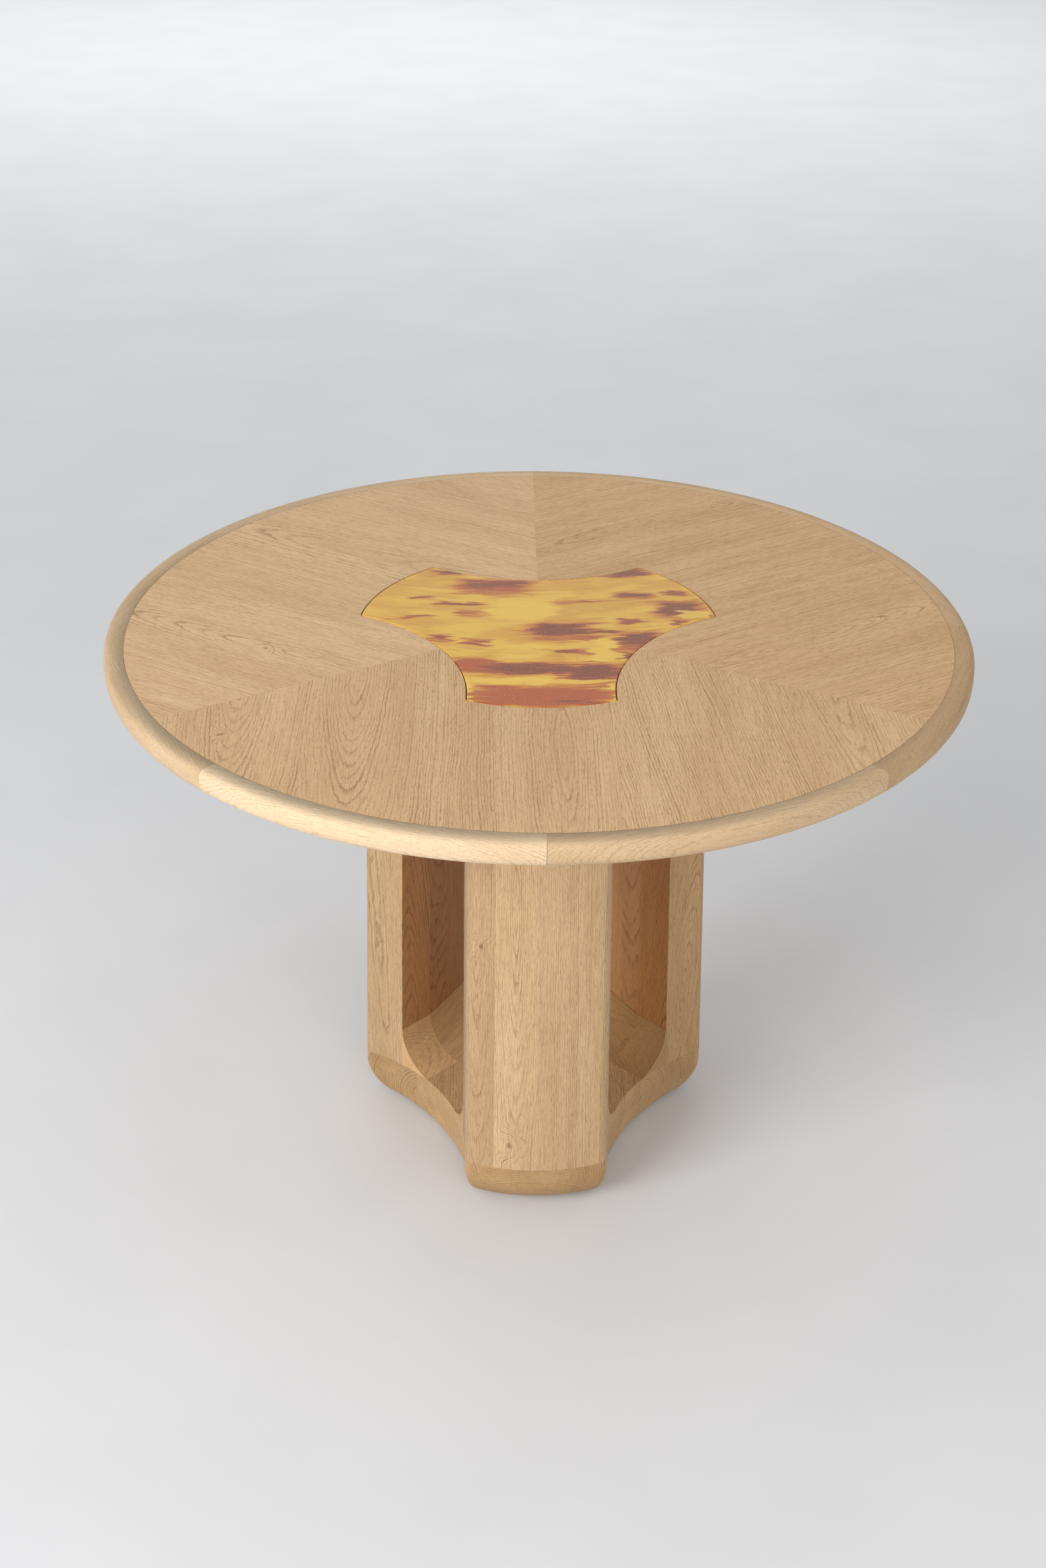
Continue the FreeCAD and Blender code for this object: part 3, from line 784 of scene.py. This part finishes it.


# Colour multiplier of each lipping length: partly its own tone; painted light, lighter and paler, on the sixth
# length, which faces the key light at the front left; painted shade, darker and warmer, on the eighth.
LIPPING_TONES_AND_PAINTED_LIGHT = (warmed(0.90, 0.1), warmed(0.95), warmed(0.98), warmed(1.0),
                  warmed(1.04), warmed(1.22, -0.1), warmed(1.0, 0.06), warmed(0.86, 0.2))
# Each sector's last entry multiplies its colours: mostly the veneer's own tone; the left sector's is raised as
# painted light on the rear of the top.
SHEETS = {
    Leg.FRONT: Sheet((Cut(-365.0, -14.0, 0.02, 0.12), Cut(-226.0, -16.0, 0.02, 0.12),
                      Cut(20.0, -34.0, 0.01, 0.1), Cut(-60.0, 40.0, 0.12, 0.02), Cut(330.0, 12.0, 0.1, 0.05)),
                     (-275.0, -95.0, 85.0, 265.0), (Knot(300.0, -372.0, 3.0),), warmed(1.0, 0.06)),
    Leg.LEFT: Sheet((Cut(-560.0, 40.0, 0.02, 0.02), Cut(-90.0, 40.0, 0.03, 0.05),
                     Cut(-70.0, 60.0, 0.0, 0.02), Cut(222.0, -10.0, 0.02, 0.09)),
                    (-240.0, -60.0, 120.0), (Knot(262.0, 232.0, 3.5),), warmed(1.08)),
    Leg.RIGHT: Sheet((Cut(-210.0, -30.0, 0.02, 0.12), Cut(-300.0, 50.0, 0.03, 0.02),
                      Cut(215.0, -35.0, 0.01, 0.1), Cut(700.0, 60.0, 0.0, 0.02)),
                     (-150.0, 20.0, 330.0), (), warmed(0.99, 0.1))}
BALANCE_CUTS = (Cut(-120.0, 60.0, 0.02, 0.1), Cut(90.0, 50.0, 0.02, 0.15))


@dataclass
class Tabletop:
    """Veneered field in three sectors, with eight lipping lengths round it."""

    lipping_count: int = 8
    top_round: float = 7.5 * MM
    bottom_round: float = 15.0 * MM
    radius: float = CAD_BOX[1].x
    top: float = CAD_BOX[1].z
    field_radius: float = field(default_factory=lambda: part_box("top_core")[1].x)
    underside: float = field(default_factory=lambda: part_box("balance_veneer")[0].z)
    arc_steps: int = 48

    def build(self) -> None:
        """Makes the lipping."""
        maker = self.lipping_maker()
        for index in range(self.lipping_count):
            self.build_lipping(maker, index)

    @staticmethod
    def lipping_maker() -> Maker:
        """Tree that sweeps the lipping's section along an arc of the rim."""
        maker = Maker("lipping_maker", {
            "Rim": "Float", "Width": "Float", "Thickness": "Float", "Top Round": "Float",
            "Bottom Round": "Float", "Underside": "Float", "Start": "Float", "Sweep": "Float",
            "Steps": "Int", "Finish": "Material"})
        graph = maker.graph
        section = graph.out(graph.node("GeometryNodeCurvePrimitiveQuadrilateral", {"mode": "RECTANGLE"}, {
            "Width": maker.given("Width"), "Height": maker.given("Thickness")}))
        corner = graph.out(graph.node("GeometryNodeInputPosition", {}, {}))
        across, down, _ = graph.split(corner)
        outer = across.apply("GREATER_THAN", 0.0)
        upper = down.apply("LESS_THAN", 0.0)
        reach = outer * (upper * maker.given("Top Round") + (1.0 - upper) * maker.given("Bottom Round"))
        eased = graph.out(graph.node("GeometryNodeFilletCurve", {"mode": "POLY"}, {
            "Curve": section, "Count": 10, "Radius": reach, "Limit Radius": True}))
        shift = graph.join(maker.given("Width") * 0.5, maker.given("Thickness") * -0.5, 0.0)
        placed = graph.out(graph.node("GeometryNodeTransform", {}, {"Geometry": eased, "Translation": shift}))
        arc = graph.out(graph.node("GeometryNodeCurveArc", {"mode": "RADIUS"}, {
            "Resolution": maker.given("Steps"), "Radius": maker.given("Rim") - maker.given("Width"),
            "Start Angle": maker.given("Start"), "Sweep Angle": maker.given("Sweep")}))
        level = graph.out(graph.node("GeometryNodeSetCurveNormal", {"mode": "Z_UP"}, {"Curve": arc}))
        solid = graph.out(graph.node("GeometryNodeCurveToMesh", {}, {
            "Curve": level, "Profile Curve": placed, "Fill Caps": True}))
        smooth = graph.out(graph.node("GeometryNodeSetShadeSmooth", {}, {"Geometry": solid}))
        raised = graph.out(graph.node("GeometryNodeTransform", {}, {
            "Geometry": smooth, "Translation": graph.join(0.0, 0.0, maker.given("Underside"))}))
        maker.finish(raised)
        return maker

    def build_lipping(self, maker: Maker, index: int) -> None:
        """Makes one lipping length."""
        node = f"lipping_{index + 1}"
        sweep = 2 * math.pi / self.lipping_count
        middle = math.degrees(sweep * (index + 0.5))
        board = Board(origin=heading(middle) * self.radius + UP * self.top,
                      along=heading(middle + 90.0), across=-heading(middle), seed=40.0 + index * 1.7,
                      cuts=(Cut(-90.0 - 22.0 * (index % 4), 60.0 + 31.0 * (index % 3), 0.02, 0.01),),
                      tint=0.12 * math.sin(index * 2.1), shade=LIPPING_TONES_AND_PAINTED_LIGHT[index])
        finish = LIGHT_OAK.dress("oak_" + node, board, self.field_radius)
        piece = maker.run("rim_" + node, points_mesh(node + "_start", [Vector((0, 0, 0))]), {
            "Rim": self.radius, "Width": self.radius - self.field_radius,
            "Thickness": self.top - self.underside, "Top Round": self.top_round,
            "Bottom Round": self.bottom_round, "Underside": self.underside,
            "Start": index * sweep, "Sweep": sweep, "Steps": self.arc_steps, "Finish": finish})
        settle(piece, Slot.LIPPING, node)

    def dress(self) -> None:
        """Gives the veneers and the core their finishes."""
        for number, (leg, sheet) in enumerate(SHEETS.items()):
            board = Board(UP * self.top, leg.outward, UP.cross(leg.outward), 3.0 + 2.3 * number,
                          sheet.cuts, sheet.joints, sheet.knots, shade=sheet.shade)
            dress_node("face_veneer_" + leg.title, FIELD_OAK.dress("oak_veneer_" + leg.title, board,
                                                                   self.field_radius))
        below = Board(UP * self.underside, heading(270.0), heading(180.0), 19.0, BALANCE_CUTS, (0.0,))
        dress_node("balance_veneer", FIELD_OAK.dress("oak_balance_veneer", below, self.field_radius))
        dress_node("top_core", CORE_BOARD.dress("core_board"))


@dataclass
class Inlay:
    """The glazed panel and its bed."""

    def dress(self) -> None:
        """Gives the panel its glaze and the bed its adhesive."""
        dress_node("inlay_panel", GlazeFinish().dress("ochre_glaze"))
        dress_node("inlay_bedding", ADHESIVE.dress("bed_adhesive"))


# ---- pedestal ------------------------------------------------------------------------------
@dataclass(frozen=True)
class Stave:
    """One stave's cut, shade and knots."""

    cut: Cut
    shade: Colour = PLAIN_SHADE
    knots: tuple[Knot, ...] = ()


@dataclass
class LegWood:
    """The staves and cove blocks of one leg."""

    leg: Leg
    seed: float
    staves: tuple[Stave, ...]
    cove_shade: Colour

    def dress_staves(self) -> None:
        """Gives each stave its own cut of oak, its face outwards."""
        outward = self.leg.outward
        across = outward.cross(UP)
        reach = -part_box("leg_front_stave_2")[0].y
        for number, stave in enumerate(self.staves, start=1):
            node = f"leg_{self.leg.title}_stave_{number}"
            low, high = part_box(node)
            aside = across * ((low + high) / 2).dot(across)
            board = Board(outward * reach + aside + UP * low.z, UP, across, self.seed + number * 2.9,
                          (stave.cut,), knots=stave.knots, shade=stave.shade)
            # Faces that look towards the table's axis get painted shade.
            dress_node(node, STAVE_OAK.dress("oak_" + node, board, painted_shade_and_end_grain=Toning(-outward, INNER_PAINTED_SHADE)))

    def dress_coves(self) -> None:
        """Gives each cove block oak that runs across the leg."""
        outward = self.leg.outward
        for number, place in enumerate("abc"):
            node = f"leg_{self.leg.title}_cove_{place}"
            low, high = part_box(node)
            middle = (low + high) / 2
            # The leg's cove multiplier is partly painted light and shade.
            board = Board(Vector((middle.x, middle.y, high.z)), UP.cross(outward), outward,
                          self.seed + 31.0 + number * 4.1, (Cut(-120.0, 60.0 + 19.0 * number, 0.08, 0.02),),
                          shade=self.cove_shade)
            dress_node(node, COVE_OAK.dress("oak_" + node, board))


STRAIGHT = Cut(150.0, 70.0, 0.01, 0.01)
STRAIGHT_BACK = Cut(-150.0, 55.0, -0.01, 0.01)
ARCHED = Cut(0.0, -24.0, 0.0, 0.09)
# Stave and cove multipliers: partly each board's own tone, partly painted light. The right leg's first stave
# and its coves are darker and warmer as painted shade; the left leg's coves are lighter as painted light from
# the left.
LEG_WOODS = (
    LegWood(Leg.FRONT, 5.0, (
        Stave(Cut(16.0, -12.0, -0.02, 0.09), warmed(0.93, 0.04), (Knot(345.0, 2.0, 4.0),)),
        Stave(ARCHED, warmed(1.1), (Knot(40.0, 8.0, 5.0),)),
        Stave(STRAIGHT, warmed(1.02)),
        Stave(STRAIGHT_BACK, warmed(1.06))), PLAIN_SHADE),
    LegWood(Leg.RIGHT, 16.0, (
        Stave(Cut(16.0, 66.0, 0.10, -0.09), warmed(0.91, 0.22), (Knot(430.0, 20.0, 3.0),)),
        Stave(ARCHED, warmed(1.04)),
        Stave(STRAIGHT, warmed(1.08)),
        Stave(Cut(30.0, 20.0, 0.02, 0.05), warmed(0.97))), warmed(0.74, 0.22)),
    LegWood(Leg.LEFT, 27.0, (
        Stave(Cut(-20.0, 10.0, 0.03, 0.06), warmed(0.97)),
        Stave(STRAIGHT_BACK, warmed(1.04)),
        Stave(ARCHED, warmed(1.02), (Knot(210.0, -6.0, 4.0),)),
        Stave(Cut(-8.0, 62.0, 0.0, -0.07))), warmed(1.16)))


@dataclass
class Base:
    """The slab of five boards that the legs stand on."""

    end_tone: Colour = (0.82, 0.80, 0.76)
    cuts: tuple[Cut, ...] = (
        Cut(60.0, 40.0, 0.02, 0.02), Cut(70.0, -10.0, 0.02, 0.01), Cut(0.0, 150.0, 0.01, 0.01),
        Cut(-66.0, 8.0, 0.02, 0.02), Cut(-60.0, 30.0, 0.02, 0.02))

    def dress(self) -> None:
        """Gives each board its own cut, with end grain at the front foot."""
        ends = Toning(heading(270.0), self.end_tone, both_ways=True)
        for number, cut in enumerate(self.cuts, start=1):
            node = f"base_board_{number}"
            low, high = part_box(node)
            board = Board(Vector(((low.x + high.x) / 2, 0.0, high.z)), heading(270.0), heading(0.0),
                          70.0 + number * 3.3, (cut,), tint=0.1 * math.sin(number * 1.9))
            dress_node(node, BASE_OAK.dress("oak_" + node, board, painted_shade_and_end_grain=ends))


@dataclass(frozen=True)
class CapScrew:
    """Sizes of one kind of socket cap screw and the node that places it."""

    node: str
    shank_radius: float
    head_radius: float
    head_height: float


@dataclass
class Hardware:
    """Screws, washers and inserts, the beech block and dowels, and the felt pads."""

    thread_pitch: float = 1.5 * MM
    screws: tuple[CapScrew, ...] = (CapScrew("top_bolts", 4.0 * MM, 6.5 * MM, 8.0 * MM),
                                    CapScrew("base_bolts", 5.0 * MM, 8.0 * MM, 10.0 * MM))

    def build(self) -> None:
        """Makes the cap screws and dresses the washers and inserts."""
        maker = self.screw_maker()
        steel = STEEL.dress("zinc_steel")
        for screw in self.screws:
            node = screw.node
            places = [Vector(((low.x + high.x) / 2, (low.y + high.y) / 2, low.z))
                      for low, high in islands(node)]
            low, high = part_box(node)
            piece = maker.run(node + "_turned", points_mesh(node + "_places", places), {
                "Shank Radius": screw.shank_radius, "Head Radius": screw.head_radius,
                "Head Height": screw.head_height, "Length": high.z - low.z,
                "Pitch": self.thread_pitch, "Finish": steel})
            settle(piece, Slot.STEEL, node)
        for node in ("top_washers", "top_inserts", "base_washers", "base_inserts"):
            dress_node(node, steel)

    def screw_maker(self) -> Maker:
        """Tree that stands one socket cap screw on every point, head down."""
        maker = Maker("screw_maker", {"Shank Radius": "Float", "Head Radius": "Float", "Head Height": "Float",
                                      "Length": "Float", "Pitch": "Float", "Finish": "Material"})
        graph = maker.graph
        head = self.knurled_head(maker)
        turns = (maker.given("Length") - maker.given("Head Height")) / maker.given("Pitch")
        rows = (turns * 2.0).apply("ROUND")
        shank = graph.node("GeometryNodeMeshCylinder", {"fill_type": "NGON"}, {
            "Vertices": 20, "Side Segments": rows, "Fill Segments": 1, "Radius": maker.given("Shank Radius"),
            "Depth": maker.given("Length") - maker.given("Head Height")})
        x, y, z = graph.split(graph.out(graph.node("GeometryNodeInputPosition", {}, {})))
        ridge = (z / maker.given("Pitch") + y.apply("ARCTAN2", x) / (2 * math.pi)).apply("FRACT")
        crest = 1.0 - (ridge - 0.5).apply("ABSOLUTE") * 0.24
        threaded = graph.out(graph.node("GeometryNodeSetPosition", {}, {
            "Geometry": graph.out(shank, "Mesh"), "Position": graph.join(x * crest, y * crest, z)}))
        middle = (maker.given("Length") + maker.given("Head Height")) * 0.5
        raised = graph.out(graph.node("GeometryNodeTransform", {}, {
            "Geometry": threaded, "Translation": graph.join(0.0, 0.0, middle)}))
        both = graph.node("GeometryNodeJoinGeometry", {}, {"Geometry": head})
        graph.tree.links.new(raised.socket, both.inputs["Geometry"])
        placed = graph.out(graph.node("GeometryNodeInstanceOnPoints", {}, {
            "Points": maker.given("Geometry"), "Instance": graph.out(both)}))
        maker.finish(placed)
        return maker

    @staticmethod
    def knurled_head(maker: Maker) -> Signal:
        """Knurled head with a six-sided socket in its lower face."""
        graph = maker.graph
        height = maker.given("Head Height")
        drum = graph.node("GeometryNodeMeshCylinder", {"fill_type": "NGON"}, {
            "Vertices": 72, "Side Segments": 1, "Fill Segments": 1, "Radius": maker.given("Head Radius"),
            "Depth": height})
        x, y, z = graph.split(graph.out(graph.node("GeometryNodeInputPosition", {}, {})))
        index = graph.out(graph.node("GeometryNodeInputIndex", {}, {}))
        notch = 1.0 - index.apply("MODULO", 2.0) * 0.035
        knurled = graph.out(graph.node("GeometryNodeSetPosition", {}, {
            "Geometry": graph.out(drum, "Mesh"), "Position": graph.join(x * notch, y * notch, z)}))
        key = graph.node("GeometryNodeMeshCylinder", {"fill_type": "NGON"}, {
            "Vertices": 6, "Side Segments": 1, "Fill Segments": 1, "Radius": maker.given("Head Radius") * 0.55,
            "Depth": height})
        lowered = graph.out(graph.node("GeometryNodeTransform", {}, {
            "Geometry": graph.out(key, "Mesh"), "Translation": graph.join(0.0, 0.0, height * -0.5)}))
        cut = graph.node("GeometryNodeMeshBoolean", {"operation": "DIFFERENCE"}, {0: knurled, 1: lowered})
        return graph.out(graph.node("GeometryNodeTransform", {}, {
            "Geometry": graph.out(cut, "Mesh"), "Translation": graph.join(0.0, 0.0, height * 0.5)}))

    def dress(self) -> None:
        """Gives the hidden wood and the pads their finishes."""
        beech = BEECH.dress("plain_beech")
        for node in ("head_block", "head_dowels", "block_dowels", "base_dowels"):
            dress_node(node, beech)
        felt = FELT.dress("grey_felt")
        for leg in Leg:
            dress_node("pad_" + leg.title, felt)


# ---- studio ---------------------------------------------------------------------------------
TABLE_MIDDLE = (0.0, 0.0, 0.4)


@dataclass(frozen=True)
class SoftLight:
    """A rectangular light: where it hangs, the point that it faces, its size and its power in watts."""

    name: str
    place: Triple
    target: Triple
    size: tuple[float, float]
    power: float

    def hang(self) -> None:
        """Makes the light, which glossy faces don't mirror."""
        data = bpy.data.lights.new(self.name, "AREA")
        data.shape = "RECTANGLE"
        data.size, data.size_y = self.size
        data.energy = self.power
        light = bpy.data.objects.new(self.name, data)
        light.location = self.place
        towards = Vector(self.target) - Vector(self.place)
        light.rotation_euler = towards.to_track_quat("-Z", "Y").to_euler()
        light.visible_glossy = False
        bpy.context.scene.collection.objects.link(light)


@dataclass
class Studio:
    """Plain floor, a soft key, a weaker fill, a light for the far floor, and the camera."""

    floor_half: float = 30.0
    camera_distance: float = 2.5328
    camera_rise: float = 1.18
    swing: float = 1.2
    yaw: float = -0.422
    pitch: float = 29.159
    roll: float = 0.456
    focal_length: float = 50.0
    sensor: float = 36.0
    room_strength: float = 0.6
    lights: tuple[SoftLight, ...] = (
        SoftLight("key", (-3.1, -3.0, 2.3), TABLE_MIDDLE, (2.6, 2.2), 150.0),
        SoftLight("fill", (1.6, -4.2, 1.9), TABLE_MIDDLE, (3.0, 2.4), 62.0),
        SoftLight("far", (-1.0, 8.0, 4.5), (-1.0, 8.5, 0.0), (8.0, 4.0), 215.0))

    def build(self) -> None:
        """Makes the floor, the lights and the camera."""
        self.build_floor()
        self.build_world()
        for light in self.lights:
            light.hang()
        self.build_camera()
        bpy.context.scene.view_settings.view_transform = "Standard"

    def build_floor(self) -> None:
        """Lays a wide plain floor under the table."""
        half = self.floor_half
        mesh = bpy.data.meshes.new("floor")
        mesh.from_pydata([(-half, -half, 0), (half, -half, 0), (half, half, 0), (-half, half, 0)], [],
                         [(0, 1, 2, 3)])
        mesh.materials.append(FloorFinish().dress("pale_floor"))
        floor = bpy.data.objects.new("floor", mesh)
        bpy.context.scene.collection.objects.link(floor)

    def build_world(self) -> None:
        """Fills the room with pale light."""
        world = bpy.data.worlds.new("room")
        bpy.context.scene.world = world
        world.use_nodes = True
        graph = Graph(world.node_tree)
        sky = graph.out(graph.node("ShaderNodeBackground", {}, {"Color": (1.0, 1.0, 1.0, 1.0),
                                                               "Strength": self.room_strength}))
        graph.node("ShaderNodeOutputWorld", {}, {"Surface": sky})

    def build_camera(self) -> None:
        """Aims the camera."""
        swing, pitch = math.radians(self.swing), math.radians(self.pitch)
        yaw = math.radians(self.yaw + self.swing)
        forward = Vector((math.sin(yaw) * math.cos(pitch), math.cos(yaw) * math.cos(pitch), -math.sin(pitch)))
        level = Vector((math.cos(yaw), -math.sin(yaw), 0.0))
        upright = level.cross(forward)
        roll = math.radians(self.roll)
        right = level * math.cos(roll) + upright * math.sin(roll)
        up = upright * math.cos(roll) - level * math.sin(roll)
        data = bpy.data.cameras.new("camera")
        data.sensor_width = self.sensor
        data.lens = self.focal_length
        camera = bpy.data.objects.new("camera", data)
        camera.matrix_world = Matrix((right, up, -forward)).transposed().to_4x4()
        camera.location = (-self.camera_distance * math.sin(swing), -self.camera_distance * math.cos(swing),
                           CAD_BOX[1].z + self.camera_rise)
        bpy.context.scene.collection.objects.link(camera)
        bpy.context.scene.camera = camera


def main() -> None:
    """Builds and dresses the table, then the studio."""
    logging.basicConfig(level=logging.INFO, format="%(name)s: %(message)s")
    tabletop = Tabletop()
    tabletop.build()
    tabletop.dress()
    Inlay().dress()
    for wood in LEG_WOODS:
        wood.dress_staves()
        wood.dress_coves()
    Base().dress()
    hardware = Hardware()
    hardware.build()
    hardware.dress()
    Studio().build()


if __name__ == "__main__":
    main()
